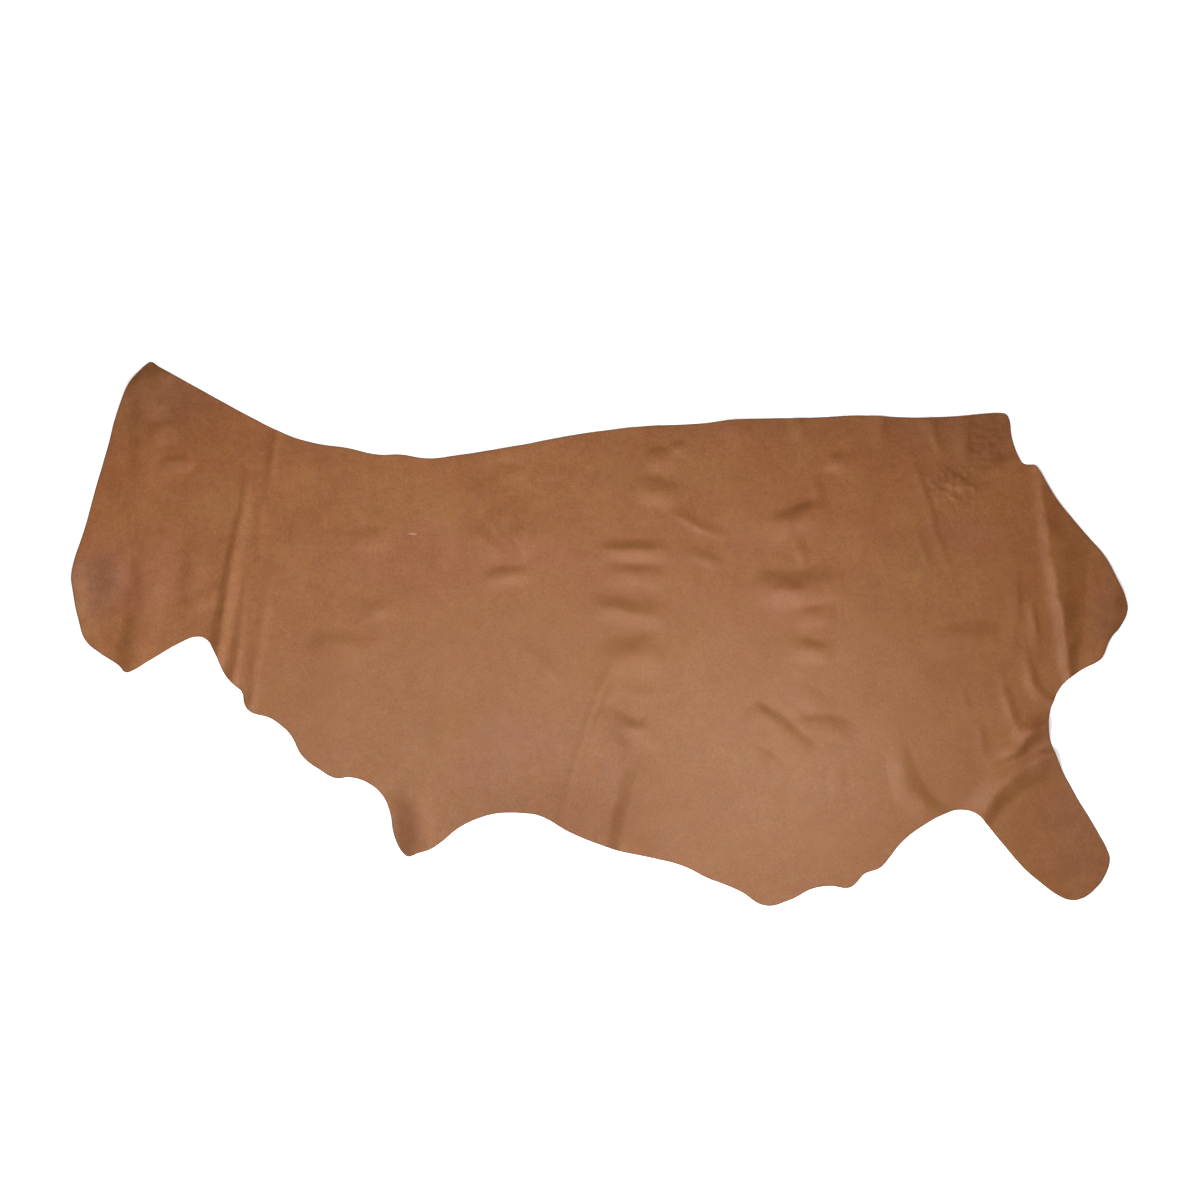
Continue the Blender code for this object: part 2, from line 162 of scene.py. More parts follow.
# The neck is creased across where it was bent, and its tip and outer edge lift a little.
NECK_CREASES = [
    steady(34, 90, [(-955, 470, 2.7), (-930, 494, 6.3), (-896, 510, 6.3), (-850, 514, 2.7)]),
    steady(36, 40, [(-1058, 170, 0), (-1056, 110, 4.5), (-1046, 30, 5.4), (-1016, -30, 2.7)]),
    steady(30, 60, [(-910, 280, 0), (-913, 360, 2.3), (-915, 440, 2.3), (-905, 480, 0)]),
    steady(44, 40, [(-968, 60, 0), (-972, 124, 2.9), (-965, 190, 0)]),
    steady(40, 50, [(-936, -76, 4.4), (-925, -20, 4.2), (-908, 84, 3), (-898, 160, 2), (-896, 230, 0)]),
    steady(26, 34, [(-822, 30, 0), (-814, 118, 1.8), (-802, 220, 0)]),
    steady(24, 28, [(-830, 66, 0), (-790, 68, 2.7), (-756, 74, 0)]),
    steady(24, 34, [(-910, 398, 0), (-878, 404, 3.1), (-840, 412, 0)]),
    steady(20, 24, [(-878, 344, 0), (-846, 340, 3.6), (-812, 346, 0)]),
    Crease(FIRM, FIRM, [
        (-768, -64, 4.6, 26, 20), (-759, -22, 5, 26, 22), (-745, 68, 4.8, 24, 24), (-733, 138, 3.6, 20, 24),
        (-723, 198, 2.9, 16, 22), (-711, 268, 1.8, 13, 22), (-702, 350, 0, 12, 20),
    ]),
    Crease(FIRM, FIRM, [
        (-735, -104, 4.1, 24, 14), (-721, -34, 2.3, 18, 14), (-713, 48, 1.4, 16, 14), (-704, 124, 0, 14, 14),
    ]),
    steady(18, 17, [(-698, -146, 2.3), (-685, -56, 1.4), (-668, 50, 0.9), (-660, 100, 0)], FIRM),
    steady(17, 18, [(-662, 270, 0), (-653, 350, 1.8), (-640, 420, 1.4)], FIRM),
    steady(15, 16, [(-680, 130, 0), (-678, 205, 1.3), (-672, 290, 0)], FIRM),
]

# Soft ripples, a few of them in columns across the ribs and the loin.
BACK_CREASES = [
    steady(26, 31, [(-510, 184, 0), (-462, 190, 3), (-415, 194, 0)]),
    steady(24, 30, [(-478, 44, 0), (-440, 48, 3.2), (-400, 52, 0)]),
    steady(34, 50, [(-580, -14, 0), (-530, -22, 3.6), (-480, -30, 3.2), (-430, -36, 0)]),
    steady(26, 24, [(-216, 366, 0), (-183, 364, 1.8), (-150, 360, 0)]),
    steady(26, 26, [(-214, 322, 0), (-178, 318, 1.8), (-140, 312, 0)]),
    steady(84, 21, [
        (-254, 306, 0), (-220, 256, 4.5), (-186, 212, 8), (-164, 184, 6.5), (-140, 150, 0),
    ], FIRM),
    steady(20, 44, [(-268, 232, 0), (-230, 190, 4), (-190, 150, 0)], FIRM),
    steady(24, 24, [(-240, 112, 0), (-182, 114, 5.2), (-128, 118, 0)]),
    steady(28, 19, [(-176, -8, 0), (-120, -62, 3), (-62, -120, 0)]),
    steady(20, 40, [(86, 350, 0), (122, 356, 4), (156, 350, 0)]),
    steady(16, 20, [(136, 368, 0), (155, 370, 3), (178, 366, 0)]),
    steady(34, 34, [(54, 294, 0), (111, 282, 5), (174, 264, 0)]),
    steady(21, 13, [(124, 248, 0), (171, 228, 2), (201, 210, 2.3), (258, 190, 0)], FIRM),
    steady(20, 19, [(168, 168, 0), (211, 150, 2.4), (252, 132, 0)]),
    steady(23, 31, [(-6, 168, 0), (34, 168, 5), (71, 168, 6.8), (108, 167, 5.2), (146, 166, 0)], FIRM),
    steady(23, 34, [(4, 126, 0), (81, 118, 4.6), (146, 106, 0)]),
    steady(34, 33, [(-26, 56, 0), (20, 50, 5.8), (51, 44, 6.8), (90, 38, 6), (134, 30, 0)], FIRM),
    steady(42, 53, [(-4, -54, 0), (28, -45, 6), (61, -42, 8), (95, -39, 6.5), (130, -30, 0)]),
    steady(18, 22, [(52, -116, 0), (86, -120, 2.2), (118, -124, 0)]),
    steady(29, 44, [(4, -150, 0), (30, -172, 7), (56, -192, 11), (84, -197, 9), (110, -188, 0)]),
    steady(12, 16, [(22, -70, 1), (0, -120, 2), (-23, -176, 1.8), (-53, -276, 1.6), (-84, -392, 1.4)], FIRM),
    steady(24, 15, [(36, -78, 0), (18, -122, 2.2), (-4, -176, 1.4), (-16, -210, 0)], FIRM),
    steady(70, 40, [(70, -200, 0), (74, -250, 4.6), (74, -305, 8), (63, -360, 10.5), (46, -430, 10.5)]),
    steady(44, 37, [(-380, -280, 0), (-372, -350, 4), (-366, -430, 4)]),
    steady(26, 58, [(330, 206, 0), (372, 224, 5.4), (414, 240, 7), (464, 248, 0)]),
    steady(17, 13, [(399, 196, 0), (401, 160, 2.9), (404, 126, 0)]),
    steady(42, 46, [
        (300, 106, 0), (335, 95, 6), (371, 88, 9.5), (421, 94, 11), (452, 101, 6.5), (492, 112, 0),
    ], FIRM),
    steady(23, 26, [(382, 33, 0), (428, 36, 3.4), (474, 41, 0)]),
    steady(26, 31, [(368, -26, 0), (418, -33, 5.8), (470, -37, 0)]),
    steady(26, 31, [(380, -106, 0), (426, -131, 2), (472, -154, 0)]),
    steady(26, 54, [(298, -146, 0), (324, -164, 6.5), (360, -188, 7.5), (392, -216, 6.5), (420, -248, 0)]),
    steady(25, 30, [(386, -182, 0), (416, -184, 4.5), (446, -182, 6.5), (476, -188, 4.5), (502, -200, 0)]),
    steady(20, 26, [(300, -226, 0), (334, -250, 4.4), (372, -270, 0)]),
    steady(24, 30, [(372, -262, 0), (352, -312, 2), (340, -372, 0)]),
    steady(20, 22, [(476, -236, 0), (478, -292, 1.6), (476, -345, 0)]),
    steady(22, 24, [(440, 340, 0), (476, 343, 3), (512, 342, 0)]),
    steady(17, 14, [(428, 320, 0), (433, 278, 3), (438, 240, 0)]),
    steady(23, 20, [(267, 372, 0), (268, 410, 2.8), (268, 440, 2.8)]),
    steady(23, 20, [(394, 384, 0), (395, 414, 3), (396, 442, 3)]),
    steady(26, 20, [(556, 366, 0), (559, 404, 3.4), (561, 446, 3.4)]),
    steady(23, 20, [(657, 384, 0), (660, 412, 2.6), (661, 446, 2.6)]),
    steady(26, 24, [(726, 322, 0), (728, 380, 2.4), (729, 446, 2.4)]),
]

# How closely the mesh follows the leather: along its cut edge, in a band just inside it, and in
# staggered rows over the field. Away from the creases only a quarter of the field's points are kept.
CURVE_STEPS = 12
NO_LENGTH = 1e-9
EDGE_STEP = 5 * MM
FIELD_STEP = 5 * MM
ROW_STEP = FIELD_STEP * np.sqrt(3) / 2
EDGE_BAND = 2.6 * MM
BAND_CLEARANCE = 0.9 * EDGE_BAND
LEAST_GAP = 2.6 * MM
MERGE_GAP = 0.01 * MM
INSIDE_ONLY = 1

# The edge is worn round and wanders a little, as a hand-cut edge does.
EDGE_ROUNDING = 0.3 * MM
EDGE_SEGMENTS = 2
EDGE_ANGLE = 1.0
EDGE_WANDER = 0.8 * MM
EDGE_WANDER_SIZE = 45 * MM

# No crease is quite straight or even, and between them the side lofts a little off the table: each
# loft is its rise and the size of its waves.
CREASE_DRIFT = 3.5 * MM
DRIFT_SIZE = 45 * MM
CREASE_UNEVEN = 0.35
UNEVEN_SIZE = 38 * MM
BROAD_LOFT = (2.2 * MM, 120 * MM)
SMALL_LOFT = (0.6 * MM, 42 * MM)

# Two patches at the top of the rump are crumpled: x, y, reach along x and y, and rise, in millimetres.
ROUGH_PATCHES = [(708, 298, 78, 56, 2.0), (775, 380, 70, 60, 1.2)]
ROUGH_FADE = 0.6
ROUGH_SIZE = 15 * MM
ROUGH_SHARPNESS = 2.5

# The noise is read in layers, so that edge, lofts, crumples and creases don't run together.
EDGE_LAYER = 3
LOFT_LAYER = 5
ROUGH_LAYER = 7
DRIFT_LAYERS = (11, 12)
UNEVEN_LAYER = 13

# The finishes are numbered: the grain is 0, the flesh side under it 1, and the cut edge 2.
FLESH_FINISH = 1
FIBRE_FINISH = 2


def smooth_line(rows, closed):
    """Points in metres along a smooth curve through rows of x, y and rise in millimetres."""
    curve = bpy.data.curves.new("line", "CURVE")
    curve.dimensions = "3D"
    curve.resolution_u = CURVE_STEPS
    spline = curve.splines.new("BEZIER")
    spline.bezier_points.add(len(rows) - 1)
    spline.use_cyclic_u = closed
    for knot, row in zip(spline.bezier_points, rows):
        knot.co = Vector((*row, 0)[:3]) * MM
        knot.handle_left_type = "AUTO"
        knot.handle_right_type = "AUTO"
    line = bpy.data.objects.new("line", curve)
    bpy.context.scene.collection.objects.link(line)
    bpy.context.view_layer.update()
    points = np.array([vertex.co for vertex in line.to_mesh().vertices])
    bpy.data.curves.remove(curve)
    return points


def evenly_along(line, step, closed):
    """Points at an even spacing of about one step along a line of points, with all its columns."""
    if closed:
        line = np.vstack([line, line[:1]])
    pieces = np.linalg.norm(np.diff(line[:, :2], axis=0), axis=1)
    travelled = np.concatenate([[0], np.cumsum(pieces)])
    count = max(2, round(travelled[-1] / step))
    stops = np.linspace(0, travelled[-1], count + 1)
    if closed:
        stops = stops[:-1]
    return np.column_stack([np.interp(stops, travelled, column) for column in line.T])


def to_the_right(along):
    """The unit vectors that point to the right of each direction."""
    length = np.maximum(np.linalg.norm(along, axis=1), NO_LENGTH)
    return np.column_stack([along[:, 1], -along[:, 0]]) / length[:, None]


def beside_line(points, line):
    """For each point: its offset to the right of the line, and the line's other columns beside it."""
    start = line[:-1]
    run = np.diff(line, axis=0)
    across = points[:, None, :] - start[None, :, :2]
    length_squared = np.maximum((run[:, :2] ** 2).sum(axis=1), NO_LENGTH**2)
    share = np.clip((across * run[None, :, :2]).sum(axis=2) / length_squared, 0, 1)
    gap = across - share[..., None] * run[None, :, :2]
    distance = np.linalg.norm(gap, axis=2)
    nearest = distance.argmin(axis=1)
    each = np.arange(len(points))
    right = to_the_right(run[nearest, :2])
    side = np.where((gap[each, nearest] * right).sum(axis=1) < 0, -1, 1)
    others = start[nearest, 2:] + share[each, nearest, None] * run[nearest, 2:]
    return distance[each, nearest] * side, others


def crease_line(crease):
    """The crest as points in metres, with the reach of both its flanks: x, y, rise, left, right."""
    crest = smooth_line([row[:3] for row in crease.crest], closed=False)
    knots = np.arange(len(crease.crest)) * CURVE_STEPS
    stops = np.arange(len(crest))
    left = np.interp(stops, knots, [row[3] for row in crease.crest]) * MM
    right = np.interp(stops, knots, [row[4] for row in crease.crest]) * MM
    return np.column_stack([crest, left, right])


def waviness(points, size, layer):
    """Smooth noise between -1 and 1 at each point, with waves of about that size in metres."""
    return np.array([noise.noise(Vector((x / size, y / size, layer))) for x, y in points[:, :2]])


def in_creases(points, creases):
    """The height that the creases give each point, and which points lie in any of them."""
    drift = np.column_stack([waviness(points, DRIFT_SIZE, layer) for layer in DRIFT_LAYERS])
    drifted = points + drift * CREASE_DRIFT
    uneven = 1 + CREASE_UNEVEN * waviness(points, UNEVEN_SIZE, UNEVEN_LAYER)
    heights = np.zeros(len(points))
    touched = np.zeros(len(points), bool)
    for left_flank, right_flank, line in creases:
        widest = line[:, 3:].max()
        low = line[:, :2].min(axis=0) - widest
        high = line[:, :2].max(axis=0) + widest
        near = np.flatnonzero(((points > low) & (points < high)).all(axis=1))
        if len(near) == 0:
            continue
        offset, others = beside_line(drifted[near], line)
        rise, left, right = others.T
        on_left = offset < 0
        share = np.abs(offset) / np.where(on_left, left, right)
        crown = np.where(on_left, left_flank.crown, right_flank.crown)
        foot = np.where(on_left, left_flank.foot, right_flank.foot)
        heights[near] += np.maximum(rise, 0) * uneven[near] * np.maximum(1 - share**crown, 0) ** foot
        touched[near] |= share < 1
    return heights, touched


def crumpled(points):
    """The height of the fine crumples at the top of the rump, for each point."""
    heights = np.zeros(len(points))
    for x, y, reach_x, reach_y, rise in ROUGH_PATCHES:
        away = np.linalg.norm((points / MM - (x, y)) / (reach_x, reach_y), axis=1)
        share = np.clip((1 - away) / ROUGH_FADE, 0, 1)
        ridges = 1 - np.abs(waviness(points, ROUGH_SIZE, ROUGH_LAYER)) * ROUGH_SHARPNESS
        heights += rise * MM * share * np.maximum(ridges, 0)
    return heights


def field_points(edge):
    """Points in staggered rows over the side, with their row and their place in it."""
    low = edge.min(axis=0)
    high = edge.max(axis=0)
    start = edge
    end = np.roll(edge, -1, axis=0)
    rows = []
    for row, y in enumerate(np.arange(low[1], high[1], ROW_STEP)):
        spans = (start[:, 1] > y) != (end[:, 1] > y)
        share = (y - start[spans, 1]) / (end[spans, 1] - start[spans, 1])
        crossings = np.sort(start[spans, 0] + share * (end[spans, 0] - start[spans, 0]))
        xs = np.arange(low[0] + FIELD_STEP / 2 * (row % 2), high[0], FIELD_STEP)
        within = np.searchsorted(crossings, xs) % 2 == 1
        for place in np.flatnonzero(within):
            rows.append((xs[place], y, row, place))
    return np.array(rows)


def clear_of(points, taken, least):
    """Which points lie further than the least gap from all those taken."""
    tree = KDTree(len(taken))
    for index, (x, y) in enumerate(taken):
        tree.insert((x, y, 0), index)
    tree.balance()
    return np.array([tree.find((x, y, 0))[2] > least for x, y in points])


def crest_points(creases):
    """Points along every crest, none closer to another than the least gap."""
    kept = []
    for _, _, line in creases:
        for point in evenly_along(line, FIELD_STEP, closed=False)[:, :2]:
            if not kept or np.linalg.norm(np.array(kept) - point, axis=1).min() > LEAST_GAP:
                kept.append(point)
    return np.array(kept)


cut_edge = evenly_along(smooth_line(CUT_EDGE, closed=True)[:, :2], EDGE_STEP, closed=True)
outward = -to_the_right(np.roll(cut_edge, -1, axis=0) - np.roll(cut_edge, 1, axis=0))
cut_edge = cut_edge + outward * (waviness(cut_edge, EDGE_WANDER_SIZE, EDGE_LAYER) * EDGE_WANDER)[:, None]
creases = [
    (crease.left_flank, crease.right_flank, crease_line(crease))
    for crease in BUTT_CREASES + NECK_CREASES + BACK_CREASES
]

band = cut_edge - outward * EDGE_BAND
band = band[clear_of(band, cut_edge, BAND_CLEARANCE)]
crests = crest_points(creases)
field = field_points(cut_edge)
_, creased = in_creases(field[:, :2], creases)
creased |= crumpled(field[:, :2]) > 0
row, place = field[:, 2], field[:, 3]
wide_row = row % 2 == 0
wide_place = (place + row / 2) % 2 == 0
field = field[creased | (wide_row & wide_place), :2]
crests = crests[clear_of(crests, np.vstack([cut_edge, band]), LEAST_GAP)]
inner = field[clear_of(field, np.vstack([cut_edge, band, crests]), LEAST_GAP)]
points = np.vstack([cut_edge, band, crests, inner])

flat, _, faces, _, _, _ = delaunay_2d_cdt(
    [Vector(point) for point in points], [], [list(range(len(cut_edge)))], INSIDE_ONLY, MERGE_GAP
)
flat = np.array(flat)
used = np.unique(np.array(faces))
renumber = np.zeros(len(flat), int)
renumber[used] = np.arange(len(used))
faces = renumber[np.array(faces)]
flat = flat[used]

heights, _ = in_creases(flat, creases)
for rise, size in (BROAD_LOFT, SMALL_LOFT):
    heights += rise * np.maximum(waviness(flat, size, LOFT_LAYER), 0)
heights += crumpled(flat)

cad_size = cad_high - cad_low
low = flat.min(axis=0)
high = flat.max(axis=0)
scale = (cad_size.x / (high[0] - low[0]), cad_size.y / (high[1] - low[1]))
places = np.column_stack([
    cad_low.x + (flat[:, 0] - low[0]) * scale[0],
    cad_low.y + (flat[:, 1] - low[1]) * scale[1],
    heights,
])

mesh = bpy.data.meshes.new("lining_leather")
mesh.from_pydata(places.tolist(), [], faces.tolist())
if mesh.polygons[0].normal.z < 0:
    mesh.flip_normals()
mesh.shade_smooth()
leather = bpy.data.objects.new("lining_leather", mesh)
bpy.context.scene.collection.objects.link(leather)

at_edge = ~clear_of(flat, cut_edge, EDGE_BAND / 2)
edge_share = mesh.attributes.new("cut_edge", "FLOAT", "POINT")
edge_share.data.foreach_set("value", at_edge.astype(np.float32))

skin = leather.modifiers.new("thickness", "SOLIDIFY")
skin.thickness = THICKNESS
skin.offset = 1
skin.use_even_offset = True
skin.material_offset = FLESH_FINISH
skin.material_offset_rim = FIBRE_FINISH
rounding = leather.modifiers.new("worn_edge", "BEVEL")
rounding.width = EDGE_ROUNDING
rounding.segments = EDGE_SEGMENTS
rounding.limit_method = "ANGLE"
rounding.angle_limit = EDGE_ANGLE
rounding.use_clamp_overlap = True

# The grain side is a low satin brown finish over fine pores. It is mottled where the hide took the dye
# unevenly, and darkened with painted shade in other patches: each patch is x, y, and how far it reaches
# along x and y, in millimetres.
GRAIN_ORANGE = (0.281, 0.098, 0.025)
GRAIN_TAN = (0.278, 0.122, 0.050)
GRAIN_YELLOW = (0.266, 0.110, 0.029)
GRAIN_ROSY = (0.290, 0.100, 0.044)
GRAIN_RUSSET = (0.262, 0.083, 0.020)
GRAIN_MAUVE = (0.270, 0.110, 0.064)
GRAIN_SMOKY = (0.212, 0.104, 0.052)
PAINTED_SHADE_BROWN = (0.185, 0.064, 0.018)
PALE_SCRATCH = (0.55, 0.36, 0.25)
PALE_BELLY = [(-60, -370, 1350, 800)]
RUSSET_PATCHES = [
    (-850, 420, 260, 180), (-1000, 330, 90, 140), (740, 400, 330, 150), (1000, 150, 170, 260),
    (900, 180, 60, 160),
]
ROSY_PATCHES = [
    (-340, 145, 300, 80), (-330, 190, 120, 70), (20, 120, 130, 60), (385, 70, 110, 60), (-80, 150, 90, 50),
    (-930, 120, 180, 120), (720, 210, 110, 70), (1035, 40, 50, 90), (300, 170, 60, 40),
]
YELLOW_PATCHES = [
    (-450, 285, 250, 80), (-770, 255, 110, 90), (60, 330, 420, 90), (640, 110, 130, 180),
    (-300, -170, 90, 60), (30, -60, 120, 80),
]
MAUVE_PATCHES = [
    (-165, -215, 130, 95), (-240, -295, 90, 70), (30, -240, 50, 90), (-1000, 100, 60, 80),
    (960, -400, 110, 170), (900, -250, 90, 80),
]
# Painted shade: darker along the backbone where the light falls off, at the tips of the neck, butt and fore
# shank, along the lower belly, and in the crumples and folds of the rump and hind shank.
PAINTED_SHADE_PATCHES = [
    (-885, 520, 170, 140), (-450, 395, 480, 60), (210, 452, 660, 105), (720, 430, 260, 130),
    (-90, -380, 260, 100), (-385, -410, 70, 110), (1036, 55, 80, 190), (930, -180, 80, 60),
    (700, 322, 46, 28), (790, 372, 56, 38), (716, 395, 26, 44),
]
# Painted shade, stronger: the neck tip that slopes away from the lamps, and the soft fold of the fore shank.
PAINTED_SHADE_TIPS = [(-885, 495, 220, 175), (-390, -410, 80, 130)]
SMOKY_PATCHES = [(-1018, 80, 80, 100)]
# Painted shade: the lower belly is darkened a little against the light that pools there.
PAINTED_SHADE_BELLY = [(20, -345, 440, 140)]
SCRATCHES = [(-374, 200, 13, 1.3)]

# The patches have soft borders, and they swirl into one another.
PATCH_BORDER = (1.0, 0.2)
SWIRL = {"Scale": 8.0, "Detail": 4.0}
SWIRL_MIDDLE = (0.5, 0.5, 0.5)
SWIRL_REACH = (0.14, 0.14, 0)

# The dyes and the painted shade in the order in which they lie over one another: patches, colour, and
# strength.
DYES_AND_PAINTED_SHADE = [
    (RUSSET_PATCHES, GRAIN_RUSSET, 0.6),
    (ROSY_PATCHES, GRAIN_ROSY, 0.7),
    (YELLOW_PATCHES, GRAIN_YELLOW, 0.6),
    (MAUVE_PATCHES, GRAIN_MAUVE, 0.5),
    (PAINTED_SHADE_PATCHES, PAINTED_SHADE_BROWN, 0.5),
    (PAINTED_SHADE_TIPS, PAINTED_SHADE_BROWN, 0.8),
    (SMOKY_PATCHES, GRAIN_SMOKY, 0.35),
    (PAINTED_SHADE_BELLY, PAINTED_SHADE_BROWN, 0.22),
]

# Over the patches lie clouds and blotches, flecks, and a mottle that is strongest off the belly. The
# scales are waves to a metre.
CLOUDS = {"scale": 9.0, "detail": 4.0, "roughness": 0.6}
BLOTCHES = {"scale": 42.0, "detail": 4.0, "roughness": 0.6}
CLOUD_RANGE = (0.34, 0.66)
CLOUD_STRENGTH = 0.3
MOTTLE = {"scale": 7.0, "detail": 6.0, "roughness": 0.95}
MOTTLE_RANGE = (0.35, 0.65)
MOTTLE_DEEP = (0.915, 0.850, 0.800)
MOTTLE_PALE = (1.085, 1.150, 1.200)
MOTTLE_BELLY = (0.1, 0.7)
MOTTLE_STRENGTH = (1.0, 0.5)
FLECKS = {"scale": 380.0, "detail": 3.0, "roughness": 0.7}
FLECK_RANGE = (0.25, 0.75)
FLECK_SHADES = (0.84, 1.16)

# Painted shade, with a slight change of hue: the colour darkens slowly from the shoulder to the rump, as the
# light falls off towards it.
PAINTED_SHADE_RUN = (-0.68, 1.0)
NO_SHADE = (1.0, 1.0, 1.0)
RUMP_PAINTED_SHADE = (0.70, 0.685, 0.605)

# The finish is a little glossier in places, and its pores and pits are less than a millimetre deep.
SATIN = {"scale": 60.0}
SATIN_RANGE = (0.3, 0.7)
GRAIN_ROUGHNESS = (0.56, 0.66)
GRAIN_SPECULAR = 0.32
PORE_SCALE = 750.0
PORE_STRENGTH = 0.35
PORE_DEPTH = 0.3 * MM
PITS = {"scale": 170.0, "detail": 5.0, "roughness": 0.62}
PIT_STRENGTH = 0.5
PIT_DEPTH = 0.9 * MM

# Along the cut edge the colour is darker: partly darker dye, partly painted shade under the edge's
# thickness.
EDGE_DYE_AND_SHADE = 0.75
EDGE_BROWN = (0.10, 0.045, 0.022)


def add_node(tree, kind, inputs=(), **settings):
    """A node with its settings, and its inputs set to a value or linked from a socket."""
    made = tree.nodes.new(kind)
    for name, value in settings.items():
        setattr(made, name, value)
    for key, value in dict(inputs).items():
        if isinstance(value, bpy.types.NodeSocket):
            tree.links.new(value, made.inputs[key])
        else:
            made.inputs[key].default_value = value
    return made


def new_finish(name):
    """A new material, with its node tree and its shader."""
    material = bpy.data.materials.new(name)
    material.use_nodes = True
    tree = material.node_tree
    return material, tree, tree.nodes["Principled BSDF"]


def place_on(tree):
    """The place on the object that is coloured, in metres."""
    return add_node(tree, "ShaderNodeTexCoord").outputs["Object"]


def noise_of(tree, place, scale, detail=3.0, roughness=0.5):
    """Noise between 0 and 1."""
    return add_node(
        tree, "ShaderNodeTexNoise",
        {"Vector": place, "Scale": scale, "Detail": detail, "Roughness": roughness},
    ).outputs["Fac"]


def ranged(tree, value, low, high, to_low=0.0, to_high=1.0):
    """A value eased from one range into another."""
    return add_node(
        tree, "ShaderNodeMapRange",
        {"Value": value, "From Min": low, "From Max": high, "To Min": to_low, "To Max": to_high},
        interpolation_type="SMOOTHSTEP",
    ).outputs["Result"]


def mixed(tree, share, first, second, blend="MIX"):
    """Two colours mixed, each given as a colour or as a socket."""
    made = add_node(tree, "ShaderNodeMix", data_type="RGBA", blend_type=blend)
    for key, value in ((0, share), (6, first), (7, second)):
        if isinstance(value, bpy.types.NodeSocket):
            tree.links.new(value, made.inputs[key])
        else:
            made.inputs[key].default_value = value if key == 0 else (*value, 1)
    return made.outputs[2]


def arithmetic(tree, operation, first, second):
    """Two values multiplied, or the larger of the two."""
    return add_node(tree, "ShaderNodeMath", {0: first, 1: second}, operation=operation).outputs[0]


def vector_math(tree, operation, *vectors):
    """A node that subtracts, multiplies or measures vectors."""
    return add_node(tree, "ShaderNodeVectorMath", dict(enumerate(vectors)), operation=operation)


def in_patches(tree, place, patches):
    """How far a place is within any of the patches, from 0 to 1, with soft borders."""
    shares = 0.0
    for x, y, reach_x, reach_y in patches:
        away = vector_math(tree, "SUBTRACT", place, (x * MM, y * MM, 0)).outputs["Vector"]
        reach = (1 / (reach_x * MM), 1 / (reach_y * MM), 0)
        away = vector_math(tree, "MULTIPLY", away, reach).outputs["Vector"]
        away = vector_math(tree, "LENGTH", away).outputs["Value"]
        shares = arithmetic(tree, "MAXIMUM", ranged(tree, away, *PATCH_BORDER), shares)
    return shares


def raised(tree, height, strength, depth, below=None):
    """The normals of a bumpy surface, over those of another that lies below it."""
    inputs = {"Height": height, "Strength": strength, "Distance": depth}
    if below:
        inputs["Normal"] = below
    return add_node(tree, "ShaderNodeBump", inputs).outputs["Normal"]


grain, tree, shader = new_finish("satin_grain")
place = place_on(tree)
swirl = add_node(tree, "ShaderNodeTexNoise", {"Vector": place, **SWIRL}).outputs["Color"]
swirl = vector_math(tree, "SUBTRACT", swirl, SWIRL_MIDDLE).outputs["Vector"]
drifted = vector_math(tree, "MULTIPLY_ADD", swirl, SWIRL_REACH, place).outputs["Vector"]
belly = in_patches(tree, drifted, PALE_BELLY)
brown = mixed(tree, belly, GRAIN_ORANGE, GRAIN_TAN)
# The dyes and the patches of painted shade are laid over the brown one after another.
for patches, dye_and_shade, strength in DYES_AND_PAINTED_SHADE:
    share = arithmetic(tree, "MULTIPLY", in_patches(tree, drifted, patches), strength)
    brown = mixed(tree, share, brown, dye_and_shade)
for texture, dye_and_shade in ((CLOUDS, GRAIN_YELLOW), (BLOTCHES, GRAIN_ROSY)):
    share = ranged(tree, noise_of(tree, place, **texture), *CLOUD_RANGE)
    brown = mixed(tree, arithmetic(tree, "MULTIPLY", share, CLOUD_STRENGTH), brown, dye_and_shade)

# Painted shade: the brown is darkened more and more towards the rump.
along = add_node(tree, "ShaderNodeSeparateXYZ", {0: place}).outputs["X"]
painted_shade = mixed(tree, ranged(tree, along, *PAINTED_SHADE_RUN), NO_SHADE, RUMP_PAINTED_SHADE)
brown = mixed(tree, 1.0, brown, painted_shade, "MULTIPLY")
flecks = ranged(tree, noise_of(tree, place, **FLECKS), *FLECK_RANGE, *FLECK_SHADES)
brown = mixed(tree, 1.0, brown, flecks, "MULTIPLY")
mottle = ranged(tree, noise_of(tree, place, **MOTTLE), *MOTTLE_RANGE)
mottle = mixed(tree, mottle, MOTTLE_DEEP, MOTTLE_PALE)
share = ranged(tree, belly, *MOTTLE_BELLY, *MOTTLE_STRENGTH)
brown = mixed(tree, share, brown, mottle, "MULTIPLY")
brown = mixed(tree, in_patches(tree, place, SCRATCHES), brown, PALE_SCRATCH)
# Darker along the cut edge: dye and painted shade.
edge = add_node(tree, "ShaderNodeAttribute", attribute_name="cut_edge").outputs["Fac"]
brown = mixed(tree, arithmetic(tree, "MULTIPLY", edge, EDGE_DYE_AND_SHADE), brown, EDGE_BROWN)
tree.links.new(brown, shader.inputs["Base Color"])

satin = ranged(tree, noise_of(tree, place, **SATIN), *SATIN_RANGE, *GRAIN_ROUGHNESS)
tree.links.new(satin, shader.inputs["Roughness"])
shader.inputs["Specular IOR Level"].default_value = GRAIN_SPECULAR
pores = add_node(
    tree, "ShaderNodeTexVoronoi", {"Vector": place, "Scale": PORE_SCALE, "Randomness": 1.0},
    feature="SMOOTH_F1",
).outputs["Distance"]
porous = raised(tree, pores, PORE_STRENGTH, PORE_DEPTH)
pitted = raised(tree, noise_of(tree, place, **PITS), PIT_STRENGTH, PIT_DEPTH, below=porous)
tree.links.new(pitted, shader.inputs["Normal"])
mesh.materials.append(grain)

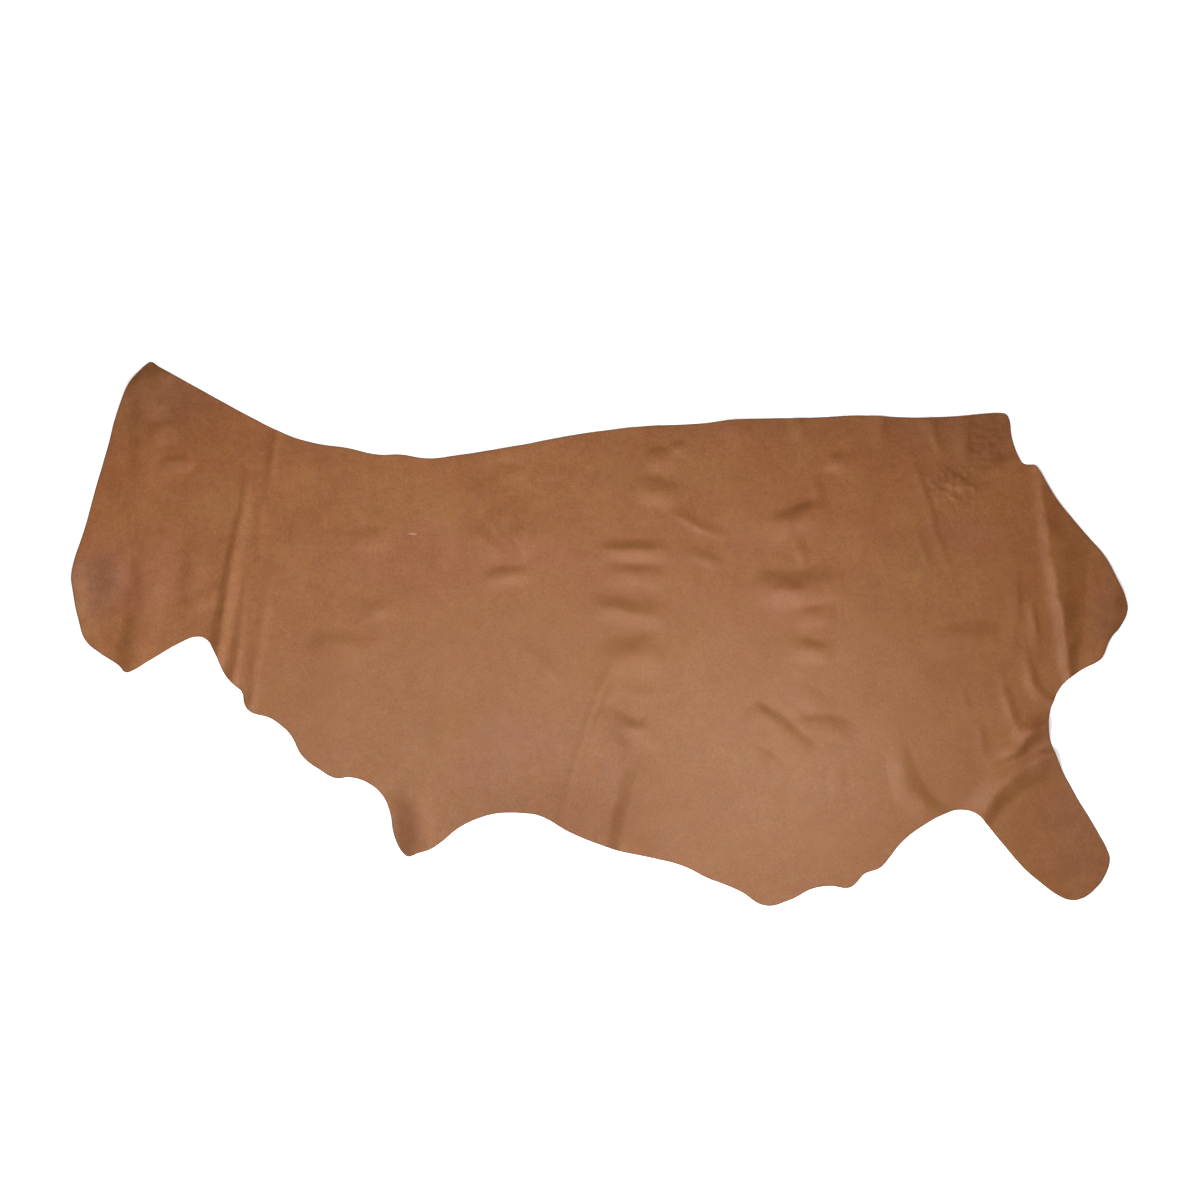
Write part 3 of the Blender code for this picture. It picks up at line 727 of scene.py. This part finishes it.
# The flesh side underneath is paler raw suede, and the cut through the thickness shows the dyed
# fibres. Both are dull, with a fine nap.
FLESH_PALE = (0.36, 0.19, 0.105)
FLESH_DEEP = (0.288, 0.152, 0.084)
EDGE_PALE = (0.16, 0.072, 0.0352)
FIBRE_RANGE = (0.3, 0.7)
NAP = {"scale": 320.0, "detail": 6.0, "roughness": 0.7}
STRANDS = {"scale": 900.0, "detail": 4.0, "roughness": 0.7}


def fibrous(name, texture, deep, pale, roughness, specular, strength, depth):
    """A dull finish of fibres between two shades."""
    material, tree, shader = new_finish(name)
    fibres = noise_of(tree, place_on(tree), **texture)
    brown = mixed(tree, ranged(tree, fibres, *FIBRE_RANGE), deep, pale)
    tree.links.new(brown, shader.inputs["Base Color"])
    shader.inputs["Roughness"].default_value = roughness
    shader.inputs["Specular IOR Level"].default_value = specular
    tree.links.new(raised(tree, fibres, strength, depth), shader.inputs["Normal"])
    return material


mesh.materials.append(fibrous(
    "raw_suede", NAP, FLESH_DEEP, FLESH_PALE, roughness=0.95, specular=0.15, strength=0.6, depth=0.6 * MM,
))
mesh.materials.append(fibrous(
    "cut_fibre", STRANDS, EDGE_BROWN, EDGE_PALE, roughness=0.9, specular=0.5, strength=0.5, depth=0.4 * MM,
))

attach(leather, "root")
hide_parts("leather_side")


# The table.
# A plain matt white top. It glows a little, so that it reads as bare paper under the lamps.
# The leather lies loose on it, flesh side down.

TABLE_SIZE = 14
TABLE_DROP = 0.3 * MM
TABLE_WHITE = 0.9
TABLE_GLOW = 0.6
TABLE_ROUGHNESS = 0.9
TABLE_SPECULAR = 0.1

bpy.ops.mesh.primitive_plane_add(size=TABLE_SIZE, location=(0, 0, -TABLE_DROP))
table = bpy.context.object
table.name = "table_top"
paper, tree, shader = new_finish("matt_white")
shader.inputs["Base Color"].default_value = (TABLE_WHITE, TABLE_WHITE, TABLE_WHITE, 1)
shader.inputs["Roughness"].default_value = TABLE_ROUGHNESS
shader.inputs["Specular IOR Level"].default_value = TABLE_SPECULAR
shader.inputs["Emission Color"].default_value = (1, 1, 1, 1)
shader.inputs["Emission Strength"].default_value = TABLE_GLOW
table.data.materials.append(paper)


# The studio.
# A small lamp hangs low over the belly, a broad one high in front, and the room gives an even fill.
# Both lamps keep their strength with distance, as a row of lamps would.

FILL = 0.15
LAMPS = {
    "high_lamp": {"place": (-0.30, -0.70, 1.8), "radius": 0.35, "watts": 30},
    "low_lamp": {"place": (0.42, -0.28, 0.47), "radius": 0.12, "watts": 34},
}

room = bpy.data.worlds.new("room")
room.use_nodes = True
background = room.node_tree.nodes["Background"]
background.inputs["Color"].default_value = (1, 1, 1, 1)
background.inputs["Strength"].default_value = FILL
bpy.context.scene.world = room

for name, lamp in LAMPS.items():
    light = bpy.data.lights.new(name, "POINT")
    light.energy = lamp["watts"]
    light.shadow_soft_size = lamp["radius"]
    light.use_nodes = True
    tree = light.node_tree
    even = add_node(tree, "ShaderNodeLightFalloff", {"Strength": 1.0})
    tree.links.new(even.outputs["Constant"], tree.nodes["Emission"].inputs["Strength"])
    stand = bpy.data.objects.new(name, light)
    stand.location = lamp["place"]
    bpy.context.scene.collection.objects.link(stand)


# The camera.
# It looks straight down with a long lens, and takes in 2.4 metres of the table.

VIEW_MIDDLE = (0.001, 0.068)
VIEW_WIDTH = 2.4
CAMERA_HEIGHT = 6.0
SENSOR_MM = 36
FARTHEST_VIEW = 50

camera_data = bpy.data.cameras.new("camera")
camera_data.sensor_width = SENSOR_MM
camera_data.lens = SENSOR_MM * CAMERA_HEIGHT / VIEW_WIDTH
camera_data.clip_end = FARTHEST_VIEW
camera = bpy.data.objects.new("camera", camera_data)
camera.location = (*VIEW_MIDDLE, CAMERA_HEIGHT)
bpy.context.scene.collection.objects.link(camera)
bpy.context.scene.camera = camera
bpy.context.scene.view_settings.view_transform = "Standard"
